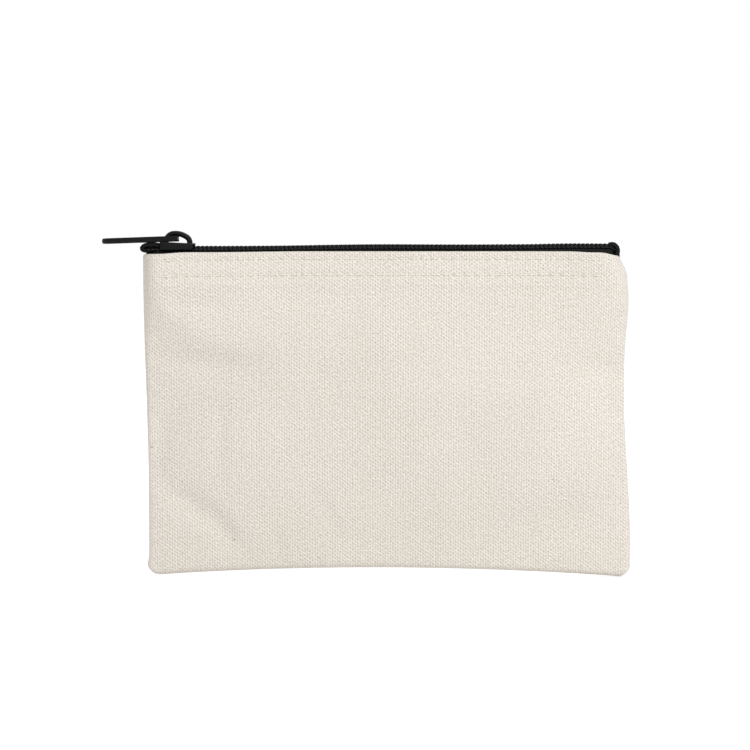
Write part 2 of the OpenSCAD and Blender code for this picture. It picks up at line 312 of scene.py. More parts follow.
def cotton_flecks_group() -> bpy.types.NodeTree:
    """Specks of seed husk and soft cloudy patches, as raw cotton has.

    Returns:
        The node tree.
    """
    graph, given, out = new_group("Cotton flecks", {"Vector": None, "Rarity": 0.5}, ["Fleck", "Cloud"])
    stretch = graph.add("ShaderNodeMapping", {0: given["Vector"], 3: (1.0, 1.6, 1.0)})
    cells = graph.add("ShaderNodeTexVoronoi", {"Vector": stretch.outputs[0], "Scale": 190.0, "Randomness": 1.0})
    chosen = graph.add("ShaderNodeSeparateColor", {0: cells.outputs["Color"]})
    rare = graph.math("GREATER_THAN", chosen.outputs[0], given["Rarity"])
    size = graph.span(chosen.outputs[1], 0.0, 1.0, 0.03, 0.085)
    inside = graph.math("LESS_THAN", cells.outputs["Distance"], size)
    graph.tree.links.new(graph.math("MULTIPLY", rare, inside), out["Fleck"])
    graph.tree.links.new(graph.noise(given["Vector"], 28.0, 4.0), out["Cloud"])
    return graph.tree


def twisted_yarn_group() -> bpy.types.NodeTree:
    """Slanted grooves of a twisted thread, by length along it and turn round it.

    Returns:
        The node tree.
    """
    graph, given, out = new_group("Twisted yarn", {"Vector": None, "Twist": 1800.0}, ["Height"])
    place = graph.add("ShaderNodeSeparateXYZ", {0: given["Vector"]})
    length = graph.math("MULTIPLY", graph.math("ADD", place.outputs[0], place.outputs[2]), given["Twist"])
    slant = graph.math("MULTIPLY_ADD", place.outputs[1], 2600.0, length)
    wave = graph.math("ABSOLUTE", graph.math("SINE", slant))
    graph.tree.links.new(wave, out["Height"])
    return graph.tree


def surface_wear_group() -> bpy.types.NodeTree:
    """Uneven gloss of a moulded or painted surface: broad mottling and fine grain.

    Returns:
        The node tree.
    """
    graph, given, out = new_group("Surface wear", {"Vector": None, "Grain Scale": 2500.0}, ["Mottle", "Grain"])
    graph.tree.links.new(graph.noise(given["Vector"], 320.0, 3.0), out["Mottle"])
    graph.tree.links.new(graph.noise(given["Vector"], given["Grain Scale"], 2.0), out["Grain"])
    return graph.tree


def start_material(name: str, coordinates: str) -> tuple[bpy.types.Material, Graph, bpy.types.Node, Socket]:
    """Makes a material with an empty Principled shader.

    Args:
        name: The material's name.
        coordinates: "UV" for a pattern that follows the cloth, or "Object".

    Returns:
        The material, its graph, its Principled node and the pattern's coordinates.
    """
    material = bpy.data.materials.new(name)
    material.use_nodes = True
    graph = Graph(material.node_tree)
    shader = material.node_tree.nodes["Principled BSDF"]
    where = graph.add("ShaderNodeTexCoord").outputs[coordinates]
    return material, graph, shader, where


def use_group(graph: Graph, name: str, inputs: dict) -> bpy.types.Node:
    """Places a named node group in a material with its own values."""
    return graph.add("ShaderNodeGroup", inputs, node_tree=bpy.data.node_groups[name])


def set_bump(graph: Graph, shader: bpy.types.Node, height: Socket, distance: float, strength: float = 1.0) -> None:
    """Feeds a height into the shader's normal.

    Args:
        graph: The material's graph.
        shader: The Principled node.
        height: Height from 0 to 1.
        distance: Height of 1, in metres.
        strength: Share of the bump that shows.
    """
    bump = graph.add("ShaderNodeBump", {"Height": height, "Distance": distance, "Strength": strength})
    graph.feed(shader, {"Normal": bump.outputs[0]})


# ---------------------------------------------------------------- finishes


@dataclass(frozen=True)
class CottonDuck:
    """Natural cotton duck: an undyed plain weave with thick warp ribs."""

    warp_pitch: float = 0.79 * MM
    weft_pitch: float = 0.56 * MM
    waviness: float = 0.27 * MM
    twist: float = 0.37
    light: tuple = (0.875, 0.825, 0.765, 1)
    # The dark end of the cloth's colour: the yarns' own tone, slubs and clouds reach towards it, and so does the
    # painted shade in the gaps between yarns.
    shade: tuple = (0.47, 0.42, 0.345, 1)
    fleck: tuple = (0.46, 0.37, 0.26, 1)
    fleck_rarity: float = 0.89
    # Strength of the painted shade in the gaps between yarns.
    gap_shade: float = 0.56
    base_shade: float = 0.08
    yarn_shade: float = 0.05
    slub_scale: float = 1400.0
    slub_shade: float = 1.25
    cloud_shade: float = 0.22
    fuzz_scale: float = 5200.0
    relief: float = 0.16 * MM

    def material(self) -> bpy.types.Material:
        """Builds the cloth's material on the panel's own UV map, which is in metres.

        Returns:
            The material.
        """
        made, graph, shader, where = start_material("cotton_duck", "UV")
        pitches = {"Warp Pitch": self.warp_pitch, "Weft Pitch": self.weft_pitch}
        yarns = {"Vector": where, **pitches, "Waviness": self.waviness, "Twist": self.twist}
        weave = use_group(graph, "Plain weave", yarns)
        flecks = use_group(graph, "Cotton flecks", {"Vector": where, "Rarity": self.fleck_rarity})
        # Painted shade: the gaps between the yarns are darkened towards the shade colour.
        depth = graph.math("MULTIPLY_ADD", weave.outputs["Gap"], self.gap_shade, self.base_shade)
        yarn = graph.math("MULTIPLY_ADD", weave.outputs["Yarn Tone"], self.yarn_shade, depth)
        yarn = graph.math("SUBTRACT", yarn, self.slub_shade / 2)
        slub = graph.math("MULTIPLY_ADD", graph.noise(where, self.slub_scale), self.slub_shade, yarn)
        slub = graph.math("SUBTRACT", slub, self.cloud_shade / 2)
        cloudy = graph.math("MULTIPLY_ADD", flecks.outputs["Cloud"], self.cloud_shade, slub)
        cloth = graph.blend(graph.math("MINIMUM", cloudy, 1.0), self.light, self.shade)
        colour = graph.blend(flecks.outputs["Fleck"], cloth, self.fleck)
        graph.feed(shader, {"Base Color": colour, "Roughness": 0.92, "Specular IOR Level": 0.25})
        graph.feed(shader, {"Sheen Weight": 0.12, "Sheen Roughness": 0.5})
        fuzz = graph.math("MULTIPLY_ADD", graph.noise(where, self.fuzz_scale, 2.0), 0.22, weave.outputs["Height"])
        set_bump(graph, shader, fuzz, self.relief, 0.85)
        return made


@dataclass(frozen=True)
class SewingThread:
    """Twisted sewing thread, matt or with a little lustre."""

    name: str
    light: tuple
    dark: tuple
    roughness: float = 0.75

    def material(self) -> bpy.types.Material:
        """Builds the thread's material with its slanted twist, whose grooves are darkened as painted shade.

        Returns:
            The material.
        """
        made, graph, shader, where = start_material(self.name, "UV")
        twist = use_group(graph, "Twisted yarn", {"Vector": where}).outputs[0]
        # Painted shade: the colour darkens in the grooves of the twist.
        colour = graph.blend(twist, self.dark, self.light)
        graph.feed(shader, {"Base Color": colour, "Roughness": self.roughness, "Specular IOR Level": 0.2})
        set_bump(graph, shader, twist, 0.05 * MM)
        return made


@dataclass(frozen=True)
class WovenTape:
    """Black polyester tape with a fine ribbed weave."""

    rib: float = 0.42 * MM
    waviness: float = 0.05 * MM
    light: tuple = (0.016, 0.016, 0.0155, 1)
    dark: tuple = (0.003, 0.003, 0.003, 1)

    def material(self) -> bpy.types.Material:
        """Builds the tape's material on its own UV map, which is in metres.

        Returns:
            The material.
        """
        made, graph, shader, where = start_material("woven_tape", "UV")
        pitches = {"Warp Pitch": self.rib, "Weft Pitch": self.rib * 0.7}
        weave = use_group(graph, "Plain weave", {"Vector": where, **pitches, "Waviness": self.waviness})
        # Painted shade: the gaps between the yarns darken the tape, on top of each yarn's own tone.
        tone = graph.math("MULTIPLY_ADD", weave.outputs["Yarn Tone"], 0.3, weave.outputs["Gap"])
        colour = graph.blend(graph.math("MINIMUM", tone, 1.0), self.light, self.dark)
        graph.feed(shader, {"Base Color": colour, "Roughness": 0.85, "Specular IOR Level": 0.15})
        set_bump(graph, shader, weave.outputs["Height"], 0.1 * MM)
        return made


@dataclass(frozen=True)
class SatinBlack:
    """Satin black with an uneven gloss, as nylon wire or baked paint has."""

    name: str
    light: tuple
    dark: tuple
    roughness: tuple[float, float]
    specular: float
    grain_scale: float
    relief: float

    def material(self) -> bpy.types.Material:
        """Builds the finish's material on Object coordinates.

        Returns:
            The material.
        """
        made, graph, shader, where = start_material(self.name, "Object")
        wear = use_group(graph, "Surface wear", {"Vector": where, "Grain Scale": self.grain_scale})
        mottle = wear.outputs["Mottle"]
        colour = graph.blend(mottle, self.dark, self.light)
        rough = graph.span(mottle, 0.3, 0.7, *self.roughness)
        graph.feed(shader, {"Base Color": colour, "Roughness": rough, "Specular IOR Level": self.specular})
        set_bump(graph, shader, wear.outputs["Grain"], self.relief)
        return made


@dataclass(frozen=True)
class SpringSteel:
    """Bare spring steel with rolling lines."""

    light: tuple = (0.50, 0.51, 0.52, 1)
    dark: tuple = (0.30, 0.31, 0.32, 1)

    def material(self) -> bpy.types.Material:
        """Builds the steel's material on Object coordinates.

        Returns:
            The material.
        """
        made, graph, shader, where = start_material("spring_steel", "Object")
        lines = graph.add("ShaderNodeMapping", {0: where, 3: (0.05, 1.0, 1.0)})
        brushed = graph.noise(lines.outputs[0], 9000.0, 2.0)
        colour = graph.blend(brushed, self.dark, self.light)
        rough = graph.span(brushed, 0.3, 0.7, 0.25, 0.42)
        graph.feed(shader, {"Base Color": colour, "Roughness": rough, "Metallic": 1.0})
        return made


@dataclass(frozen=True)
class StudioFloor:
    """Pale matt studio floor."""

    colour: tuple = (0.9, 0.9, 0.9, 1)
    lift: float = 0.44

    def material(self) -> bpy.types.Material:
        """Builds the floor's material with a faint unevenness.

        Returns:
            The material.
        """
        made, graph, shader, where = start_material("studio_floor", "Object")
        near = tuple(c * 0.99 for c in self.colour[:3]) + (1,)
        soft = graph.blend(graph.noise(where, 3.0, 2.0), self.colour, near)
        seen = graph.add("ShaderNodeLightPath").outputs["Is Camera Ray"]
        glow = graph.math("MULTIPLY", seen, self.lift)
        graph.feed(shader, {"Base Color": soft, "Roughness": 0.95, "Specular IOR Level": 0.1})
        graph.feed(shader, {"Emission Color": self.colour, "Emission Strength": glow})
        return made


@dataclass
class Palette:
    """Every finish of the object, made once."""

    canvas: bpy.types.Material = field(init=False)
    cream_thread: bpy.types.Material = field(init=False)
    black_thread: bpy.types.Material = field(init=False)
    tape: bpy.types.Material = field(init=False)
    nylon: bpy.types.Material = field(init=False)
    paint: bpy.types.Material = field(init=False)
    steel: bpy.types.Material = field(init=False)

    def __post_init__(self) -> None:
        """Builds the shared node groups, and then the materials that use them."""
        for build in (plain_weave_group, cotton_flecks_group, twisted_yarn_group, surface_wear_group):
            build()
        self.canvas = CottonDuck().material()
        cream = SewingThread("cream_thread", (0.87, 0.83, 0.755, 1), (0.66, 0.61, 0.53, 1))
        black = SewingThread("black_thread", (0.022, 0.022, 0.021, 1), (0.006, 0.006, 0.006, 1), 0.65)
        self.cream_thread = cream.material()
        self.black_thread = black.material()
        self.tape = WovenTape().material()
        self.nylon = SatinBlack(
            "moulded_nylon", (0.012, 0.012, 0.0115, 1), (0.005, 0.005, 0.005, 1),
            (0.36, 0.52), 0.22, 4000.0, 0.012 * MM,
        ).material()
        self.paint = SatinBlack(
            "black_paint", (0.008, 0.0078, 0.0078, 1), (0.003, 0.003, 0.003, 1),
            (0.34, 0.5), 0.16, 2600.0, 0.03 * MM,
        ).material()
        self.steel = SpringSteel().material()


# ---------------------------------------------------------------- form of the pouch


@dataclass(frozen=True)
class Dent:
    """A soft crease or dent in a panel, in millimetres from the left edge and the floor."""

    across: float
    up: float
    length: float
    width: float
    angle: float
    depth: float

    def at(self, u: float, z: float) -> float:
        """Depth of the dent at a place, in millimetres.

        Args:
            u: Place along the mouth, in millimetres from the left edge.
            z: Height above the floor, in millimetres.

        Returns:
            The depth.
        """
        turn = math.radians(self.angle)
        du, dz = u - self.across, z - self.up
        along = du * math.cos(turn) + dz * math.sin(turn)
        off = dz * math.cos(turn) - du * math.sin(turn)
        return self.depth * hill(along / self.length) * hill(off / self.width)


FRONT_DENTS = (
    Dent(19, 68, 15, 4.5, -6, 1.4),
    Dent(8, 60, 10, 5, 35, -0.45),
    Dent(23.5, 45, 8, 2.2, 82, 0.6),
    Dent(15, 22, 14, 4.2, -38, 1.4),
    Dent(24, 16, 9, 2.6, -55, 0.55),
    Dent(4, 40, 14, 3.5, 80, 0.9),
    Dent(16, 86.5, 14, 3, -3, 0.7),
    Dent(58, 20, 9, 2.6, -62, 0.4),
    Dent(42, 9, 6, 1.8, 85, 0.35),
    Dent(146, 66, 8, 4, 8, 0.9),
    Dent(124, 16, 26, 9, 12, 0.8),
    Dent(140, 22, 9, 4, 50, 0.5),
    Dent(137, 92, 8, 4, 20, 0.3),
)

BACK_DENTS = (
    Dent(130, 64, 18, 6, 12, 0.9),
    Dent(20, 58, 14, 5, -20, 0.8),
    Dent(132, 20, 16, 5, 35, 1.0),
    Dent(28, 24, 16, 5, -30, 0.9),
    Dent(70, 30, 20, 5, 8, 0.5),
    Dent(90, 74, 22, 6, -6, 0.4),
    Dent(8, 84, 12, 3, 5, 0.6),
)


@dataclass(frozen=True)
class PouchForm:
    """Outline and bulge of the sewn pouch, in millimetres.

    u runs from the left edge to the right edge, v up the cloth from the bottom edge, and half
    thicknesses are measured from the middle plane to the outside of the canvas.
    """

    left: float
    width: float
    height: float
    mouth_half: float
    hem_depth: float = 11.0
    canvas: float = 0.8
    corner_radius: float = 3.6
    seam_half: float = 0.04

    @property
    def hem_z(self) -> float:
        """Height of the folded-in raw edge of the hem."""
        return self.height - self.hem_depth

    def from_side(self, u: float) -> float:
        """Distance from the nearer side edge."""
        return max(0.0, min(u, self.width - u))

    def left_shift(self, z: float) -> float:
        """How far the left edge stands in from a straight line."""
        return -0.1 + 1.4 * ease((97 - z) / 72) - 0.5 * hill((z - 3.8) / 2.0)

    def right_shift(self, z: float) -> float:
        """How far the right edge stands out from a straight line: a bulge, a waist and a flare.

        Args:
            z: Height above the floor, in millimetres.

        Returns:
            The distance in millimetres.
        """
        flare = 2.25 * ease((60 - z) / 50)
        bulge = 1.25 * hill((z - 87) / 11)
        return -0.95 + flare + bulge - 1.9 * ease((z - 95) / 7)

    def bottom(self, u: float) -> float:
        """Height of the bottom edge, which lifts in the middle and rounds at the corners.

        Args:
            u: Place along the mouth, in millimetres from the left edge.

        Returns:
            The height in millimetres.
        """
        past = max(0.0, self.corner_radius - self.from_side(u))
        corner = self.corner_radius - math.sqrt(max(0.0, self.corner_radius**2 - past * past))
        lift = 2.8 * max(0.0, 1 - ((u - 72) / 77) ** 2)
        return 0.15 + lift + corner

    def top(self, u: float) -> float:
        """Height of the folded top edge, which dips towards both ends.

        Args:
            u: Place along the mouth, in millimetres from the left edge.

        Returns:
            The height in millimetres.
        """
        left_dip = 0.5 * ease((14 - u) / 9) + 0.3 * ease((50 - u) / 30)
        right_dip = 0.35 * ease((u - 134) / 9) + 0.9 * ease((u - 144.5) / 7)
        return self.height - left_dip - right_dip

    def middle_half(self, u: float, z: float) -> float:
        """Half thickness away from the side edges' own roundness.

        Args:
            u: Place along the mouth, in millimetres from the left edge.
            z: Height above the floor, in millimetres.

        Returns:
            The half thickness in millimetres.
        """
        full = self.hem_z - 2
        high = ease((z - 60) / (full - 60))
        edge = mix(1.5, 2.7, high)
        middle = mix(1.9, self.mouth_half, fill_out(z / full))
        reach = mix(46, 6, high)
        return edge + (max(edge, middle) - edge) * fill_out(self.from_side(u) / reach)

    def half(self, u: float, z: float) -> float:
        """Half thickness of the smooth pouch at a place.

        Args:
            u: Place along the mouth, in millimetres from the left edge.
            z: Height above the floor, in millimetres.

        Returns:
            The half thickness in millimetres.
        """
        high = ease((z - 60) / (self.hem_z - 62))
        seam = self.seam_half
        body = self.middle_half(u, z) - seam
        side = round_off(self.from_side(u) / mix(1.5, 2.6, high))
        foot = round_off((z - self.bottom(u) + 0.02) / 1.6)
        return seam + body * side * foot

    def x_at(self, u: float, z: float) -> float:
        """Place along the mouth, with the waviness of both side edges.

        Args:
            u: Place along the mouth, in millimetres from the left edge.
            z: Height above the floor, in millimetres.

        Returns:
            The place along X, in millimetres.
        """
        near_left = clamp(1 - 2 * u / self.width) ** 2
        near_right = clamp(2 * u / self.width - 1) ** 2
        return self.left + u + self.left_shift(z) * near_left + self.right_shift(z) * near_right


# ---------------------------------------------------------------- mesh helpers


def to_object(mesh_data: bmesh.types.BMesh, name: str, material: bpy.types.Material) -> Piece:
    """Turns a bmesh into a smooth shaded object with one material.

    Args:
        mesh_data: The bmesh, which is freed.
        name: Name of the piece.
        material: Its material.

    Returns:
        The new object.
    """
    mesh = bpy.data.meshes.new(name)
    mesh_data.to_mesh(mesh)
    mesh_data.free()
    mesh.materials.append(material)
    mesh.shade_smooth()
    made = bpy.data.objects.new(name, mesh)
    bpy.context.scene.collection.objects.link(made)
    return made


def apply_modifiers(made: Piece) -> Piece:
    """Replaces an object's mesh by its mesh with all modifiers applied.

    Args:
        made: The object.

    Returns:
        The same object.
    """
    bpy.context.view_layer.update()
    source = made.data
    final = bpy.data.meshes.new_from_object(made.evaluated_get(bpy.context.evaluated_depsgraph_get()))
    made.modifiers.clear()
    made.data = final
    bpy.data.meshes.remove(source)
    final.name = made.name
    return made


def tube(
    name: str,
    points: list[Point],
    radius: float,
    material: bpy.types.Material,
    sides: int = 1,
    smooth: bool = False,
) -> Piece:
    """Sweeps a round wire or thread along points.

    Args:
        name: Name of the piece.
        points: Points that it follows, in metres.
        radius: Radius in metres.
        material: Its material.
        sides: Bevel resolution: 0 for 4 sides, 1 for 6, 2 for 8.
        smooth: True to bend it smoothly through the points.

    Returns:
        The tube as a mesh object, with a UV map in metres along it.
    """
    curve = bpy.data.curves.new(name, "CURVE")
    curve.dimensions = "3D"
    curve.bevel_depth = radius
    curve.bevel_resolution = sides
    curve.use_fill_caps = True
    spline = curve.splines.new("BEZIER" if smooth else "POLY")
    if smooth:
        spline.bezier_points.add(len(points) - 1)
        for target, point in zip(spline.bezier_points, points):
            target.co = point
            target.handle_left_type = target.handle_right_type = "AUTO"
    else:
        spline.points.add(len(points) - 1)
        for target, point in zip(spline.points, points):
            target.co = (*point, 1.0)
    holder = bpy.data.objects.new(name, curve)
    bpy.context.scene.collection.objects.link(holder)
    bpy.context.view_layer.update()
    mesh = bpy.data.meshes.new_from_object(holder.evaluated_get(bpy.context.evaluated_depsgraph_get()))
    bpy.data.objects.remove(holder)
    bpy.data.curves.remove(curve)
    mesh.materials.clear()
    data = bmesh.new()
    data.from_mesh(mesh)
    bpy.data.meshes.remove(mesh)
    bmesh.ops.remove_doubles(data, verts=data.verts, dist=1e-7)
    bmesh.ops.recalc_face_normals(data, faces=data.faces)
    layer = data.loops.layers.uv.verify()
    for face in data.faces:
        for loop in face.loops:
            place = loop.vert.co
            loop[layer].uv = (place.x + place.z, place.y)
    return to_object(data, name, material)


def settle(piece: Piece, slot: str, body: str, *nodes: str) -> None:
    """Hides the nodes that a finished piece stands for and rides it on its body.

    Args:
        piece: The finished piece.
        slot: The record's material slot; not used.
        body: The CAD body.
        nodes: CAD nodes that the piece stands for.
    """
    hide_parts(*nodes)
    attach(piece, body)


def joined(name: str, parts: list[Piece]) -> Piece:
    """Joins pieces of one material into one piece, and removes them.

    Args:
        name: Name of the piece.
        parts: The pieces, which are removed.

    Returns:
        The joined piece.
    """
    data = bmesh.new()
    material = parts[0].data.materials[0]
    for part in parts:
        data.from_mesh(part.data)
        bpy.data.objects.remove(part)
    bmesh.ops.recalc_face_normals(data, faces=data.faces)
    return to_object(data, name, material)


def cad_shape(node: str) -> bmesh.types.BMesh:
    """Copies a CAD node's shape, with its corners merged and its flat faces joined.

    Args:
        node: The CAD node.

    Returns:
        The merged shape.
    """
    data = bmesh.new()
    data.from_mesh(frame["nodes"][node].data)
    bmesh.ops.remove_doubles(data, verts=data.verts, dist=1e-6)
    bmesh.ops.dissolve_limit(data, angle_limit=math.radians(1), verts=data.verts, edges=data.edges)
    bmesh.ops.recalc_face_normals(data, faces=data.faces)
    return data


def round_edges(piece: Piece, radius: float, segments: int, degrees: float = 0.0, clamped: bool = False) -> None:
    """Adds a modifier that rounds a piece's edges.

    Args:
        piece: The piece.
        radius: Radius of the rounded edges, in metres.
        segments: Steps of each rounded edge.
        degrees: Smallest angle of an edge that is rounded, or 0 to go by the edges' weights.
        clamped: True to keep neighbouring edges apart.
    """
    rounding = piece.modifiers.new("rounding", "BEVEL")
    rounding.width = radius
    rounding.segments = segments
    rounding.limit_method = "ANGLE" if degrees else "WEIGHT"
    rounding.use_clamp_overlap = clamped
    if degrees:
        rounding.angle_limit = math.radians(degrees)


def from_cad(name: str, node: str, material: bpy.types.Material, radius: float, segments: int = 3) -> Piece:
    """Makes a finished piece from a CAD node's shape, with its edges rounded.

    Args:
        name: Name of the piece.
        node: The CAD node it stands for.
        material: Its material.
        radius: Radius of the rounded edges, in metres.
        segments: Steps of each rounded edge.

    Returns:
        The new object.
    """
    made = to_object(cad_shape(node), name, material)
    round_edges(made, radius, segments, 40)
    apply_modifiers(made).data.shade_smooth()
    return made


def run_lengths(points: list[Vector]) -> list[float]:
    """Length along a line of points, counted from its middle point.

    Args:
        points: The points, in order.

    Returns:
        The length at each point.
    """
    total = [0.0]
    for a, b in zip(points, points[1:]):
        total.append(total[-1] + (b - a).length)
    middle = total[len(total) // 2]
    return [value - middle for value in total]


def cloth_grid(
    name: str,
    columns: list[float],
    rows: list[float],
    place: Callable[[float, float], Point],
    thickness: float,
    material: bpy.types.Material,
    flipped: bool,
    measured: Callable[[float, float], Point] | None = None,
) -> Piece:
    """Builds a strip of cloth from a grid whose points are placed one by one, and thickens it.

    Args:
        name: Name of the piece.
        columns: Cloth coordinate of each column, in millimetres.
        rows: Cloth coordinate of each row, in millimetres.
        place: Gives a point in metres from a column's and a row's coordinate.
        thickness: Thickness of the cloth in metres, to the inside of the grid.
        material: Its material.
        flipped: True if the grid's faces have to be turned over.
        measured: Gives the point that the weave is measured at, if it differs.

    Returns:
        The thick cloth, with a UV map in metres.
    """
    data = bmesh.new()
    across, up = len(columns) - 1, len(rows) - 1
    bmesh.ops.create_grid(data, x_segments=across, y_segments=up, size=1.0)
    layer = data.loops.layers.uv.verify()
    order = {v: (round((v.co.x + 1) / 2 * across), round((v.co.y + 1) / 2 * up)) for v in data.verts}
    for vert, (i, j) in order.items():
        vert.co = place(columns[i], rows[j])
    gauge = measured or place
    spots = [[Vector(gauge(column, row)) for row in rows] for column in columns]
    along = [run_lengths([line[j] for line in spots]) for j in range(up + 1)]
    upward = [run_lengths(line) for line in spots]
    for face in data.faces:
        for loop in face.loops:
            i, j = order[loop.vert]
            loop[layer].uv = (along[j][i] + UV_START, upward[i][j] + UV_START)
    if flipped:
        bmesh.ops.reverse_faces(data, faces=data.faces)
    made = to_object(data, name, material)
    body = made.modifiers.new("thickness", "SOLIDIFY")
    body.thickness = thickness
    body.offset = -1
    body.use_even_offset = False
    return apply_modifiers(made)


def halves(full: Piece, middle: float) -> list[Piece]:
    """Cuts a piece at its middle into a left and a right half that meet without a visible line.

    Args:
        full: The whole piece, which is removed.
        middle: Where it is cut, along X.

    Returns:
        The left half and the right half.
    """
    normals = {tuple(round(c, 7) for c in v.co): v.normal.copy() for v in full.data.vertices}
    made = []
    for end in End:
        data = bmesh.new()
        data.from_mesh(full.data)
        cut = bmesh.ops.bisect_plane(
            data, geom=[*data.verts, *data.edges, *data.faces], dist=1e-6,
            plane_co=(middle, 0, 0), plane_no=(-end.value, 0, 0), clear_outer=True,
        )
        rim = [e for e in cut["geom_cut"] if isinstance(e, bmesh.types.BMEdge) and e.is_boundary]
        bmesh.ops.holes_fill(data, edges=rim, sides=0)
        half = to_object(data, f"{full.name}_{end.label}", full.data.materials[0])
        known = [normals.get(tuple(round(c, 7) for c in v.co), v.normal).copy() for v in half.data.vertices]
        half.data.normals_split_custom_set_from_vertices(known)
        made.append(half)
    bpy.data.objects.remove(full)
    return made


# ---------------------------------------------------------------- walls and zipper chain


@dataclass
class Wall:
    """One wall of the pouch: its canvas, topstitching, zipper tape and half of the coil.

    Args:
        face: Which wall it is.
        form: The pouch's form.
        palette: The finishes.
        dents: Creases of this wall's canvas.
    """

    face: Face
    form: PouchForm
    palette: Palette
    dents: tuple[Dent, ...]
    column_step: float = 0.7
    row_step: float = 0.9
    stitch_pitch: float = 3.35
    upper_row: float = 2.2
    lower_row: float = 7.2
    thread_radius: float = 0.2
    fold_radius: float = 0.86
    tape_thickness: float = 0.5
    coil_pitch: float = 1.35
    wire_radius: float = 0.33
    coil_height: float = 2.1
    head_reach: float = 0.45
    spine_reach: float = 3.1
    blend_margin: float = 4.0
    chain_start: float = 0.9
    ridge_height: float = 0.5
    ridge_reach: float = 3.5
    turn_down: float = 5.9
    turn_radius: float = 1.0
    chain_stop_drop: float = 3.2
    filler_radius: float = 0.72
    chain_thread_radius: float = 0.15
    chain_stitches: tuple = ((1.35, 1.96), (2.15, 1.96), (3.12, 0.95))
    stitch_start: float = 6.0
    tape_start: float = 0.35
    tape_bend: float = 0.7

    @property
    def coil_shift(self) -> float:
        """Share of a turn that this half is moved along, so that both halves mesh."""
        return 0.0 if self.face is Face.FRONT else 0.5

    @property
    def chain_stop(self) -> float:
        """Length along the chain where it ends inside the pouch."""
        return self.form.width - self.turn_down + self.chain_stop_drop

    @property
    def name(self) -> str:
        """Name of the wall."""
        return self.face.label

    @property
    def coil_floor(self) -> float:
        """Height of the tape's upper face under the coil."""
        return self.form.height - 0.2

    def y_side(self, distance: float) -> float:
        """Turns a distance from the middle plane into Y, in metres."""
        return self.face.value * distance * MM

    def waviness(self, u: float, z: float) -> float:
        """Small unevenness of the canvas, in millimetres.

        Args:
            u: Place along the mouth, in millimetres from the left edge.
            z: Height above the floor, in millimetres.

        Returns:
            The distance in millimetres.
        """
        seed = 7.0 if self.face is Face.FRONT else 31.0
        broad = noise.noise(Vector((u / 21, z / 17, seed)))
        fine = noise.noise(Vector((u / 6.5, z / 6.0, seed + 5)))
        inner = ease((self.form.from_side(u) - 1) / 6) * ease((z - 2) / 8)
        return (0.34 * broad + 0.09 * fine) * inner

    def pucker(self, u: float, depth: float) -> float:
        """How far the stitches pull the hem in, in millimetres, at a depth below the folded edge.

        Args:
            u: Place along the mouth, in millimetres from the left edge.
            depth: Distance below the folded edge, in millimetres.

        Returns:
            The distance in millimetres.
        """
        if self.form.from_side(u) <= self.stitch_start - 1:
            return 0.0
        beat = abs(math.sin(math.pi * (u - self.stitch_start) / self.stitch_pitch))
        hole = hill(beat * self.stitch_pitch / math.pi / 0.55)
        pull = 0.0
        for row in (self.upper_row, self.lower_row):
            near = hill((depth - row) / 0.55)
            wide = hill((depth - row) / 1.3)
            pull += 0.10 * wide + 0.30 * near * hole
        return pull

    def hem_mark(self, u: float, z: float) -> float:
        """Step where the folded-in layer ends behind the canvas, in millimetres."""
        wander = 0.25 * math.sin(u / 13.0) + 0.15 * math.sin(u / 4.7)
        return 0.2 * (1 - ease((z - self.form.hem_z + 0.9 + wander) / 1.5)) * ease((z - 70) / 14)

    def outside(self, u: float, z: float) -> float:
        """Distance of the canvas's outer face from the middle plane, in millimetres.

        Args:
            u: Place along the mouth, in millimetres from the left edge.
            z: Height above the floor, in millimetres.

        Returns:
            The distance in millimetres.
        """
        form = self.form
        smooth = form.half(u, z)
        depth = form.top(u) - z
        give = clamp((smooth - 0.3) / 2.0)
        dent = sum(d.at(u, z) for d in self.dents)
        moved = smooth + give * (self.waviness(u, z) - dent - self.hem_mark(u, z))
        seam_pull = 0.16 * math.sin(z / 0.95 + 1.3 * math.sin(z / 7)) * hill((form.from_side(u) - 1.8) / 1.6)
        foot_pull = 0.14 * math.sin(u / 0.9 + 1.1 * math.sin(u / 8)) * hill((z - form.bottom(u) - 1.8) / 1.6)
        pulled = give * (seam_pull + foot_pull) - self.pucker(u, depth)
        return max(form.seam_half, moved + pulled)

    def folded_in(self, u: float) -> float:
        """Place of the folded-in layer behind the place u: a little further from the side edges.

        Args:
            u: Place along the mouth, in millimetres from the left edge.

        Returns:
            The place along the mouth, in millimetres.
        """
        reach, inset = 4.0, 2 * self.fold_radius
        near = self.form.from_side(u)
        moved = mix(inset, reach, near / reach) if near < reach else near
        return moved if u < self.form.width / 2 else self.form.width - moved

    def panel_point(self, u: float, v: float, surface: Callable[[float, float], float]) -> Point:
        """Outer face of the canvas: up the wall, over the fold and down behind it.

        Args:
            u: Place along the mouth, in millimetres from the left edge.
            v: Length up the cloth, in millimetres from the bottom edge.
            surface: Gives the wall's distance from the middle plane at a place.

        Returns:
            The point in metres.
        """
        form = self.form
        radius = self.fold_radius
        crest = form.height - radius
        arc = math.pi * radius
        top, bottom = form.top(u), form.bottom(u)
        if v <= crest:
            z = mix(bottom, top - radius, v / crest)
            return form.x_at(u, z) * MM, self.y_side(surface(u, z)), z * MM
        inner = self.folded_in(u)
        if v <= crest + arc:
            turn = (v - crest) / radius
            z = top - radius + radius * math.sin(turn)
            share = (1 - math.cos(turn)) / 2
            y = mix(surface(u, top - radius), surface(inner, top - radius) - 2 * radius, share)
            x = mix(form.x_at(u, z), form.x_at(inner, z), share)
        else:
            z = top - radius - (v - crest - arc)
            y = surface(inner, z) - 2 * radius
            x = form.x_at(inner, z)
        return x * MM, self.y_side(max(form.seam_half, y)), z * MM

    def canvas_point(self, u: float, v: float) -> Point:
        """Outer face of the canvas with its creases and stitch marks."""
        return self.panel_point(u, v, self.outside)

    def smooth_point(self, u: float, v: float) -> Point:
        """Outer face of the canvas without creases, which the weave is measured on."""
        return self.panel_point(u, v, self.form.half)

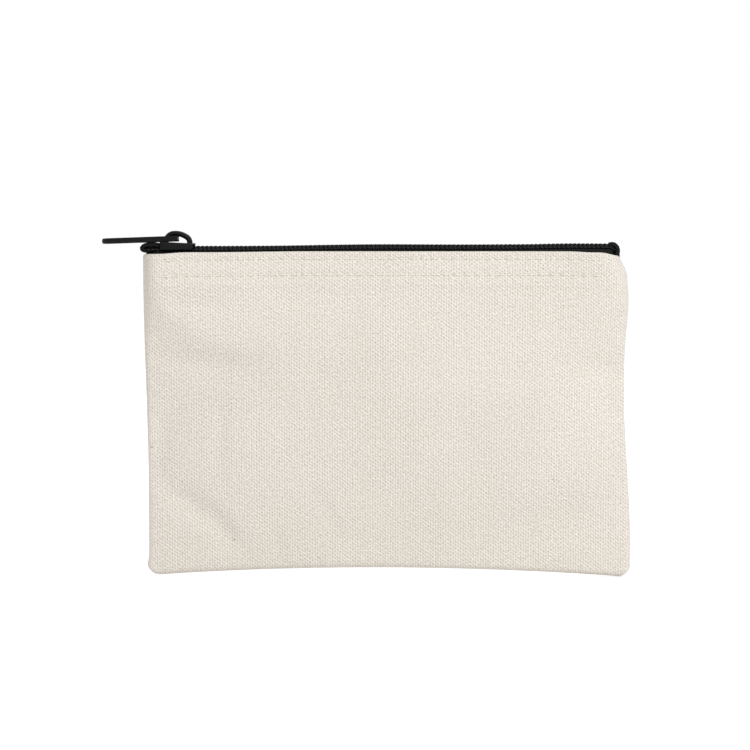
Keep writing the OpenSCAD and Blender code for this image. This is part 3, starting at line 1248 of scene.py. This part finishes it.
    def columns(self) -> list[float]:
        """Columns of the canvas: close together round both side edges, even in between.

        Returns:
            The cloth coordinate of each column, in millimetres.
        """
        radius = 2.2
        steps = 7
        arc = [radius * (1 - math.cos(math.pi / 2 * i / steps)) for i in range(steps)]
        span = self.form.width - 2 * radius
        count = 2 * round(span / self.column_step / 2)
        middle = [radius + span * i / count for i in range(count + 1)]
        return arc + middle + [self.form.width - c for c in reversed(arc)]

    def panel_rows(self) -> list[float]:
        """Rows of the canvas: close at the foot, round the fold and at the stitching.

        Returns:
            The cloth coordinate of each row, in millimetres.
        """
        form = self.form
        fold_from = form.height - self.fold_radius
        foot = [0.0, 0.1, 0.35, 0.75, 1.25]
        low = form.hem_z - 3
        count = round((low - 2) / self.row_step)
        wall = [2 + (low - 2) * i / count for i in range(count)]
        hem_count = round((fold_from - low) / 0.5)
        hem = [low + (fold_from - low) * i / hem_count for i in range(hem_count)]
        arc = math.pi * self.fold_radius
        fold = [fold_from + arc * i / 8 for i in range(9)]
        behind = [fold_from + arc + (form.hem_depth - 0.5) * i / 12 for i in range(1, 13)]
        return foot + wall + hem + fold + behind

    def carry(self, full: Piece, node: str) -> list[Piece]:
        """Cuts a full-length piece in half, bakes each half's transform and hides the CAD node it stands for.

        Args:
            full: The full-length piece.
            node: CAD node that the piece stands for.

        Returns:
            Both halves.
        """
        left = self.form.left * MM
        right = (self.form.left + self.form.width) * MM
        middle = (left + right) / 2
        starts = {"left": left + self.blend_margin * MM, "right": right - self.blend_margin * MM}
        made = halves(full, middle)
        for half in made:
            start = starts[half.name.rsplit("_", 1)[1]]
            self.face.body
            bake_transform(half)
            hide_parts(node)
        return made

    def canvas(self) -> None:
        """Builds the canvas panel with its folded hem."""
        rows = self.panel_rows()
        panel = cloth_grid(
            f"{self.name}_canvas", self.columns(), rows, self.canvas_point,
            self.form.canvas * MM, self.palette.canvas, self.face is Face.BACK, self.smooth_point,
        )
        for half in self.carry(panel, f"{self.name}_panel"):
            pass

    def topstitch(self, label: str, depth: float) -> None:
        """Sews one row of topstitching along the hem.

        Args:
            label: Name of the row.
            depth: Distance below the folded edge, in millimetres.
        """
        points = []
        start = self.stitch_start
        count = int((self.form.width - 2 * start) / self.stitch_pitch)
        steps = 8
        for i in range(count * steps + 1):
            u = start + self.stitch_pitch * i / steps
            beat = abs(math.sin(math.pi * i / steps))
            rise = mix(-0.55, 0.14, min(1.0, beat * 1.9))
            z = self.form.top(u) - depth + 0.05 * math.sin(i * 1.7)
            y = self.outside(u, z) + rise
            points.append((self.form.x_at(u, z) * MM, self.y_side(y), z * MM))
        row = tube(
            f"{self.name}_{label}_stitches", points, self.thread_radius * MM, self.palette.cream_thread, 2
        )
        self.carry(row, f"{self.name}_{label}_topstitch")

    def chain_lift(self, u: float) -> float:
        """How far the chain stands above its straight run, in millimetres."""
        return 0.55 * ease((u - 16) / 66) + 0.25 * ease((u - 118) / 18) - 0.3 + 0.05 * math.sin(u / 9)

    def chain_line(self, length: float) -> tuple[Vector, Vector]:
        """The chain's middle line: along the mouth, and down into the pouch at the right end.

        Args:
            length: Length along the line in millimetres, from the left edge.

        Returns:
            The point at the tape's upper face and the chain's up direction, both as (x, z).
        """
        over = self.form.width - self.turn_down
        u = min(length, over)
        turn = min(max(0.0, length - over) / self.turn_radius, math.pi / 2)
        drop = max(0.0, length - over - math.pi / 2 * self.turn_radius)
        x = self.form.left + u + self.turn_radius * math.sin(turn)
        z = self.coil_floor + self.chain_lift(u) - self.turn_radius * (1 - math.cos(turn)) - drop
        return Vector((x, z)), Vector((math.sin(turn), math.cos(turn)))

    def chain_spot(self, length: float, raised: float, reach: float) -> Point:
        """Place on this wall's half of the chain.

        Args:
            length: Length along the chain, in millimetres.
            raised: Height above the tape's upper face, in millimetres.
            reach: Distance from the middle plane, in millimetres, before the ends are pinched.

        Returns:
            The point in metres.
        """
        line, up = self.chain_line(length)
        spot = line + up * raised
        return spot.x * MM, self.y_side(reach * self.end_pinch(length)), spot.y * MM

    def end_pinch(self, length: float) -> float:
        """Share of the chain's width that is left near its two folded ends."""
        return mix(0.75, 1.0, ease(min(length, self.chain_stop - length) / 3))

    def turns(self, steps: int) -> range:
        """Steps along all the turns of the coil, counted from its first turn."""
        return range(steps, int(self.chain_stop / self.coil_pitch) * steps + 1)

    def coil(self) -> None:
        """Winds this wall's half of the coil: flat loops whose heads mesh with the other half."""
        steps = 14
        wire = self.wire_radius
        near, far = self.head_reach - wire, self.spine_reach - wire
        middle_y, half_y = (far - near) / 2, (far + near) / 2
        half_z = self.coil_height / 2 - wire
        points = []
        for i in self.turns(steps):
            turn = i / steps
            whole = math.floor(turn)
            share = turn - whole
            angle = 2 * math.pi * share
            at = (whole + self.coil_shift + ease((share - 0.3) / 0.4)) * self.coil_pitch
            lift = half_z * math.copysign(abs(math.sin(angle)) ** 0.8, math.sin(angle))
            y = middle_y - half_y * math.cos(angle)
            points.append(self.chain_spot(at, self.coil_height / 2 + lift, y))
        coil = tube(f"{self.name}_coil_turns", points, wire * MM, self.palette.nylon, 2)
        self.carry(coil, f"{self.name}_coil")

    def filler_cord(self) -> None:
        """Runs the filler cord through the loops of the coil."""
        count = 150
        level = self.coil_height / 2
        reach = (self.spine_reach - self.head_reach) / 2
        places = (mix(self.chain_start, self.chain_stop, i / count) for i in range(count + 1))
        points = [self.chain_spot(at, level, reach) for at in places]
        radius = self.filler_radius * MM
        cord = tube(f"{self.name}_filler_strand", points, radius, self.palette.black_thread, 2)
        self.carry(cord, f"{self.name}_filler_cord")

    def coil_thread(self) -> None:
        """Sews the coil to the tape with two lines of chain stitch over its turns and one beside them."""
        steps = 6
        radius = self.chain_thread_radius * MM
        for line_no, (reach, level) in enumerate(self.chain_stitches, 1):
            points = []
            for i in self.turns(steps):
                wave = 2 * math.pi * i / steps
                at = (i / steps + self.coil_shift) * self.coil_pitch
                raised = level + 0.16 * math.cos(wave)
                points.append(self.chain_spot(at, raised, reach + 0.14 * math.sin(wave)))
            row = tube(f"{self.name}_chain_stitch_{line_no}", points, radius, self.palette.black_thread, 1)
            self.carry(row, f"{self.name}_coil_thread")

    def tape_point(self, u: float, q: float) -> Point:
        """Upper face of the tape: out from under the coil, then down behind the hem.

        Args:
            u: Place along the mouth, in millimetres.
            q: Length across the tape from its edge at the middle, in millimetres.

        Returns:
            The point in metres.
        """
        form = self.form
        line = self.chain_line(u)[0]
        start, bend = self.tape_start, self.tape_bend
        hem_inside = max(0.75, self.outside(u, form.top(u) - 3) - 2 * form.canvas - 0.12)
        leg = max(start + 0.05, hem_inside * mix(0.7, 1.0, ease((form.from_side(u) - 1.5) / 4)))
        flat = max(0.0, leg - start - bend)
        share = self.end_pinch(u)
        quarter = math.pi / 2 * bend
        if q <= flat:
            y, below = start + q, 0.0
        elif q <= flat + quarter:
            turn = (q - flat) / bend
            y, below = start + flat + bend * math.sin(turn), bend * (1 - math.cos(turn))
        else:
            y, below = leg, bend + q - flat - quarter
        wanted = form.top(u) - below - 0.55
        ridge = self.ridge_height * hill((y - self.ridge_reach * share) / 0.45)
        over_coil = line.y + ridge
        near_coil = 1 - ease((y - self.ridge_reach * share) / max(0.4, leg - self.ridge_reach * share))
        z = mix(wanted, over_coil - below, near_coil)
        return line.x * MM, self.y_side(y), z * MM

    def tape(self) -> None:
        """Builds the woven tape that carries the coil, from one sewn end to the other."""
        middle = self.form.width / 2
        count = round(middle / 1.3)
        columns = [mix(self.chain_start, middle, i / count) for i in range(count)]
        columns += [mix(middle, self.chain_stop, i / count) for i in range(count + 1)]
        rows = [0.4 * i for i in range(41)]
        strip = cloth_grid(
            f"{self.name}_tape", columns, rows, self.tape_point,
            self.tape_thickness * MM, self.palette.tape, self.face is Face.FRONT,
        )
        for half in self.carry(strip, f"{self.name}_zipper_tape"):
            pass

    def build(self) -> None:
        """Builds every piece of the wall."""
        self.canvas()
        self.topstitch("upper", self.upper_row)
        self.topstitch("lower", self.lower_row)
        self.tape()
        self.coil()
        self.filler_cord()
        self.coil_thread()
        log.info("%s wall: canvas, topstitching, tape and coil", self.name)


# ---------------------------------------------------------------- folded ends of the zipper


def smooth_path(points: tuple[tuple[float, float], ...], steps: int) -> list[Vector]:
    """Draws a smooth line through points.

    Args:
        points: Points as (u, z) pairs.
        steps: Steps between two points.

    Returns:
        The points of the smooth line.
    """
    knots = [Vector(p) for p in (points[0], *points, points[-1])]
    line = []
    for a, b, c, d in zip(knots, knots[1:], knots[2:], knots[3:]):
        for i in range(steps):
            t = i / steps
            bend = (2 * a - 5 * b + 4 * c - d) * t * t + (3 * b - 3 * c + d - a) * t**3
            line.append((2 * b + (c - a) * t + bend) / 2)
    return [*line, knots[-1]]


@dataclass
class ZipperEnds:
    """The folded ends of the tape, which wrap the chain's two ends and are sewn in with the seams.

    Args:
        form: The pouch's form.
        palette: The finishes.
    """

    form: PouchForm
    palette: Palette
    left_line: tuple = (
        (5.5, 105.05), (3.8, 105.36), (1.6, 105.3), (0.3, 104.95), (-0.5, 104.3), (-0.8, 103.6),
        (-0.6, 102.9), (0.1, 102.4), (1.2, 102.2), (2.6, 101.9), (3.4, 101.0), (3.6, 99.4),
    )
    right_line: tuple = (
        (146.1, 105.35), (147.0, 105.5), (148.0, 105.15), (148.85, 104.2), (149.2, 103.0),
        (149.1, 101.6), (148.7, 100.2), (148.3, 98.6),
    )
    flat_half: float = 2.2
    side_radius: float = 1.2
    rib_pitch: float = 0.85
    rib_height: float = 0.1
    tuck: float = 0.6
    thickness: float = 0.45

    def fold(self, end: End, outline: tuple) -> None:
        """Builds one folded end.

        Args:
            end: Which end.
            outline: Its outer line as (u, z) pairs, from the top downwards.
        """
        line = smooth_path(outline, 6)
        lengths = [0.0]
        for a, b in zip(line, line[1:]):
            lengths.append(lengths[-1] + (b - a).length)
        place_of = {round(v, 6): i for i, v in enumerate(lengths)}
        reach = self.flat_half + self.side_radius * math.pi / 2
        rows = [reach * (i / 12 - 1) for i in range(25)]

        def point(length: float, q: float) -> Point:
            """Outer face of the fold: ribbed, with both sides turned in.

            Args:
                length: Length along the fold, in millimetres.
                q: Length across the fold from its middle line, in millimetres.

            Returns:
                The point in metres.
            """
            i = place_of[round(length, 6)]
            ahead, behind = line[min(i + 1, len(line) - 1)], line[max(i - 1, 0)]
            along = (ahead - behind).normalized()
            outward = Vector((-along.y, along.x)) * end.value
            turn = max(0.0, abs(q) - self.flat_half) / self.side_radius
            y = min(abs(q), self.flat_half) + self.side_radius * math.sin(turn)
            depth = self.side_radius * (1 - math.cos(turn))
            narrow = mix(1.0, self.tuck, ease((length / lengths[-1] - 0.45) / 0.4))
            rib = self.rib_height * abs(math.sin(math.pi * (length / self.rib_pitch + 0.15 * q)))
            spot = line[i] + outward * (rib - depth)
            return (self.form.left + spot.x) * MM, math.copysign(y * narrow, q) * MM, spot.y * MM

        made = cloth_grid(
            f"{end.label}_zipper_fold", lengths, rows, point,
            self.thickness * MM, self.palette.tape, end is End.LEFT,
        )
        settle(made, "tape", SEAMS, f"{end.label}_tape_end", f"{end.label}_coil_end")

    def build(self) -> None:
        """Builds both folded ends."""
        self.fold(End.LEFT, self.left_line)
        self.fold(End.RIGHT, self.right_line)
        log.info("zipper ends: two folds")


# ---------------------------------------------------------------- seams inside


@dataclass(frozen=True)
class SeamRun:
    """One seam, in millimetres: where it starts and stops, and how it lies.

    place gives (x, z) from the length along the seam and the distance off it.
    """

    label: str
    node: str
    start: float
    stop: float
    place: Callable[[float, float], tuple[float, float]]


@dataclass
class Seams:
    """The seam allowances turned inside along the sides and the bottom, with their threads.

    Args:
        form: The pouch's form.
        palette: The finishes.
        walls: The front and the back wall.
    """

    form: PouchForm
    palette: Palette
    walls: tuple[Wall, Wall]
    allowance: float = 9.0
    ply: float = 0.6
    thread_radius: float = 0.16
    stitch_pitch: float = 3.0
    overlock_pitch: float = 2.1
    overlock_reach: float = 1.95

    def room(self, x: float, z: float, side: Face) -> float:
        """Free distance from the middle plane to the inside of a wall, in millimetres."""
        wall = self.walls[0] if side is Face.FRONT else self.walls[1]
        return wall.outside(x - self.form.left, z) - self.form.canvas - 0.06

    def strip(self, run: SeamRun) -> None:
        """Builds a seam allowance: two layers of canvas that open slightly at the raw edge.

        Args:
            run: The seam.
        """
        count = max(8, round((run.stop - run.start) / 1.6))
        columns = [run.start + (run.stop - run.start) * i / count for i in range(count + 1)]
        rows = [mix(0.9, self.allowance, i / 8) for i in range(9)]
        name = f"{run.label}_seam_allowance"
        layers = []
        for side in Face:

            def point(along: float, off: float, side: Face = side) -> Point:
                """Outer face of one layer.

                Args:
                    along: Length along the seam, in millimetres.
                    off: Distance off the seam, in millimetres.
                    side: The wall that the layer faces.

                Returns:
                    The point in metres.
                """
                flare = 0.35 * ease(off / self.allowance) * (0.6 + 0.4 * math.sin(along / 5 + side.value))
                x, z = run.place(along, off)
                y = min(self.ply + 0.03 + flare, self.room(x, z, side))
                return x * MM, side.value * y * MM, z * MM

            turned = (side is Face.FRONT) == (run.label == "left")
            layers.append(
                cloth_grid(
                    f"{name}_{side.label}", columns, rows, point, self.ply * MM, self.palette.canvas, turned
                )
            )
        settle(joined(name, layers), "canvas", SEAMS, run.node)

    def overlock(self, run: SeamRun) -> None:
        """Binds a raw edge with slanted loops of overlock thread.

        Args:
            run: The seam.
        """
        steps = 10
        points = []
        for i in range(int((run.stop - run.start) / self.overlock_pitch * steps) + 1):
            angle = 2 * math.pi * i / steps
            along = run.start + self.overlock_pitch * i / steps
            x, z = run.place(along, self.allowance - 1.6 + self.overlock_reach * math.cos(angle))
            side = Face.BACK if math.sin(angle) > 0 else Face.FRONT
            y = min(1.2, self.room(x, z, side) - self.thread_radius) * math.sin(angle)
            points.append((x * MM, y * MM, z * MM))
        name = f"{run.label}_overlock_thread"
        made = tube(name, points, self.thread_radius * MM, self.palette.cream_thread, 1)
        settle(made, "sewing_thread", SEAMS, f"{run.label}_overlock")

    def lockstitch(self, run: SeamRun) -> None:
        """Sews the seam itself: a thread that dips between the layers at each stitch.

        Args:
            run: The seam.
        """
        steps = 6
        name = f"{run.label}_seam_stitching"
        rows = []
        for side in Face:
            points = []
            for i in range(int((run.stop - run.start) / self.stitch_pitch) * steps + 1):
                beat = abs(math.sin(math.pi * i / steps))
                x, z = run.place(run.start + self.stitch_pitch * i / steps, 1.6)
                high = min(self.ply + 0.2, self.room(x, z, side) - self.thread_radius)
                points.append((x * MM, side.value * mix(0.3, high, min(1, 1.6 * beat)) * MM, z * MM))
            radius = self.thread_radius * MM
            rows.append(tube(f"{name}_{side.label}", points, radius, self.palette.cream_thread, 1))
        settle(joined(name, rows), "sewing_thread", SEAMS, f"{run.label}_seam_thread")

    def left_place(self, along: float, off: float) -> tuple[float, float]:
        """Place on the left side seam."""
        return self.form.x_at(0.5, along) + off, along

    def right_place(self, along: float, off: float) -> tuple[float, float]:
        """Place on the right side seam."""
        return self.form.x_at(self.form.width - 0.5, along) - off, along

    def bottom_place(self, along: float, off: float) -> tuple[float, float]:
        """Place on the bottom seam."""
        return self.form.left + along, self.form.bottom(along) + 0.5 + off

    def build(self) -> None:
        """Builds the three seams with their threads."""
        low, high = 14.0, self.form.hem_z - 1.5
        runs = (
            SeamRun("left", "left_side_seam", low, high, self.left_place),
            SeamRun("right", "right_side_seam", low, high, self.right_place),
            SeamRun("bottom", "bottom_seam", 6.0, self.form.width - 6.0, self.bottom_place),
        )
        for run in runs:
            self.strip(run)
            self.overlock(run)
            self.lockstitch(run)
        log.info("seams: three allowances, overlocked and stitched")


# ---------------------------------------------------------------- slider and pull tab


@dataclass
class Slider:
    """The cast slider with its crown, its lock spring and its pull tab.

    Args:
        palette: The finishes.
    """

    palette: Palette
    cast_edge: float = 0.42 * MM
    bar_radius: float = 0.88 * MM
    arch: tuple = (
        (0.10, -0.05), (0.10, 0.20), (0.15, 0.50), (0.27, 0.74), (0.42, 0.80), (0.57, 0.76),
        (0.72, 0.62), (0.84, 0.42), (0.89, 0.18), (0.90, -0.05),
    )
    tab_edge: float = 0.62 * MM
    ring_edge: float = 0.2 * MM
    neck: float = 4.5 * MM
    tab_swell: float = 1.16
    tab_droop: float = 2.0
    spring_edge: float = 0.06 * MM

    def body(self) -> None:
        """Builds the slider's cast body."""
        made = from_cad("slider_casting", "slider_body", self.palette.paint, self.cast_edge)
        settle(made, "slider_metal", "slider", "slider_body")

    def crown(self) -> None:
        """Builds the crown that the tab hangs from: a cast bar bent over the slider."""
        low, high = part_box("slider_crown")
        wide = (high.y - low.y) / (2 * self.bar_radius)
        shape = [(mix(low.x, high.x, a), 0.0, mix(low.z, high.z, b)) for a, b in self.arch]
        made = tube("slider_bridge", shape, self.bar_radius, self.palette.paint, 4, smooth=True)
        for vert in made.data.vertices:
            vert.co.y *= wide
        settle(made, "slider_metal", "slider", "slider_crown")

    def spring(self) -> None:
        """Builds the leaf spring under the crown."""
        made = from_cad("lock_leaf", "lock_spring", self.palette.steel, self.spring_edge, 2)
        settle(made, "spring_steel", "slider", "lock_spring")

    def tab(self) -> None:
        """Builds the pull tab, a little fuller than its plain blade, with well rounded edges."""
        data = cad_shape("pull_tab")
        slope = math.tan(math.radians(self.tab_droop))
        pivot = Vector(next(j["pos_m"] for j in frame["joints"] if j["name"] == "pull_swing"))
        for vert in data.verts:
            middle = pivot.z + (vert.co.x - pivot.x) * slope
            vert.co.z = middle + (vert.co.z - middle) * self.tab_swell
        weight = data.edges.layers.float.new("bevel_weight_edge")
        for edge in data.edges:
            in_blade = max(v.co.x for v in edge.verts) < pivot.x - self.neck
            if in_blade and edge.calc_face_angle(0.0) > math.radians(40):
                edge[weight] = 1.0
        made = to_object(data, "pull_tab_blade", self.palette.paint)
        round_edges(made, self.tab_edge, 5)
        round_edges(made, self.ring_edge, 2, 50, clamped=True)
        apply_modifiers(made).data.shade_smooth()
        settle(made, "slider_metal", "pull", "pull_tab")

    def build(self) -> None:
        """Builds every piece of the slider."""
        self.body()
        self.crown()
        self.spring()
        self.tab()
        log.info("slider: casting, bridge, lock leaf and pull tab")


# ---------------------------------------------------------------- studio


@dataclass
class Studio:
    """Pale floor, soft light and the camera, with the picture's width and aim in millimetres."""

    lens: float = 100.0
    sensor: float = 36.0
    elevation: float = 3.0
    frame_width: float = 236.0
    aim_x: float = 2.95
    aim_z: float = 63.8
    surround: float = 0.73
    backdrop: float = 1.02

    def floor(self) -> None:
        """Lays the floor that the pouch stands on."""
        data = bmesh.new()
        bmesh.ops.create_circle(data, cap_ends=True, segments=96, radius=6.0)
        floor = to_object(data, "studio_floor", StudioFloor().material())

    def area_light(self, name: str, place: Point, aim: Point, size: float, power: float) -> None:
        """Hangs a soft square light.

        Args:
            name: Name of the light.
            place: Where it hangs, in metres.
            aim: What it points at, in metres.
            size: Length of its side, in metres.
            power: Power in watts.
        """
        light = bpy.data.lights.new(name, "AREA")
        light.size = size
        light.energy = power
        holder = bpy.data.objects.new(name, light)
        holder.location = place
        holder.rotation_euler = (Vector(aim) - Vector(place)).to_track_quat("-Z", "Y").to_euler()
        bpy.context.scene.collection.objects.link(holder)

    def lights(self) -> None:
        """Lights the pouch softly from the upper right, with a bright surround."""
        aim = (0.0, 0.0, 0.05)
        self.area_light("key", (0.5, -0.8, 0.75), aim, 0.6, 5.8)
        self.area_light("fill", (-0.8, -0.7, 0.4), aim, 0.9, 0.2)
        self.area_light("back", (0.1, 0.9, 0.8), aim, 0.9, 3.0)
        world = bpy.data.worlds.new("studio")
        world.use_nodes = True
        graph = Graph(world.node_tree)
        seen = graph.add("ShaderNodeLightPath").outputs["Is Camera Ray"]
        strength = graph.math("MULTIPLY_ADD", seen, self.backdrop - self.surround, self.surround)
        graph.feed(world.node_tree.nodes["Background"], {"Color": (1, 1, 1, 1), "Strength": strength})
        bpy.context.scene.world = world
        bpy.context.scene.view_settings.view_transform = "Standard"

    def camera(self) -> None:
        """Sets the camera in front of the pouch, slightly above it."""
        data = bpy.data.cameras.new("camera")
        data.lens = self.lens
        data.sensor_width = self.sensor
        data.clip_start = 0.01
        distance = self.frame_width * MM * self.lens / self.sensor
        camera = bpy.data.objects.new("camera", data)
        lift = math.radians(self.elevation)
        aim = Vector((self.aim_x * MM, 0.0, self.aim_z * MM))
        back = Vector((0, -math.cos(lift), math.sin(lift)))
        camera.location = aim + back * distance
        camera.rotation_euler = (-back).to_track_quat("-Z", "Y").to_euler()
        bpy.context.scene.collection.objects.link(camera)
        bpy.context.scene.camera = camera

    def build(self) -> None:
        """Sets up the whole studio."""
        self.floor()
        self.lights()
        self.camera()
        log.info("studio: floor, lights and camera")


def form_from_frame() -> PouchForm:
    """Reads the pouch's main sizes from the CAD nodes.

    Returns:
        The pouch's form.
    """
    seam_low, seam_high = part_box("bottom_seam")
    panel_low, panel_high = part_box("front_panel")
    return PouchForm(
        left=seam_low.x / MM,
        width=(seam_high.x - seam_low.x) / MM,
        height=panel_high.z / MM,
        mouth_half=-panel_low.y / MM,
    )


def main() -> None:
    """Builds the pouch in order."""
    logging.basicConfig(level=logging.INFO, format="%(name)s: %(message)s")
    form = form_from_frame()
    palette = Palette()
    Studio().build()
    walls = (Wall(Face.FRONT, form, palette, FRONT_DENTS), Wall(Face.BACK, form, palette, BACK_DENTS))
    for wall in walls:
        wall.build()
    ZipperEnds(form, palette).build()
    Seams(form, palette, walls).build()
    Slider(palette).build()


if __name__ == "__main__":
    main()
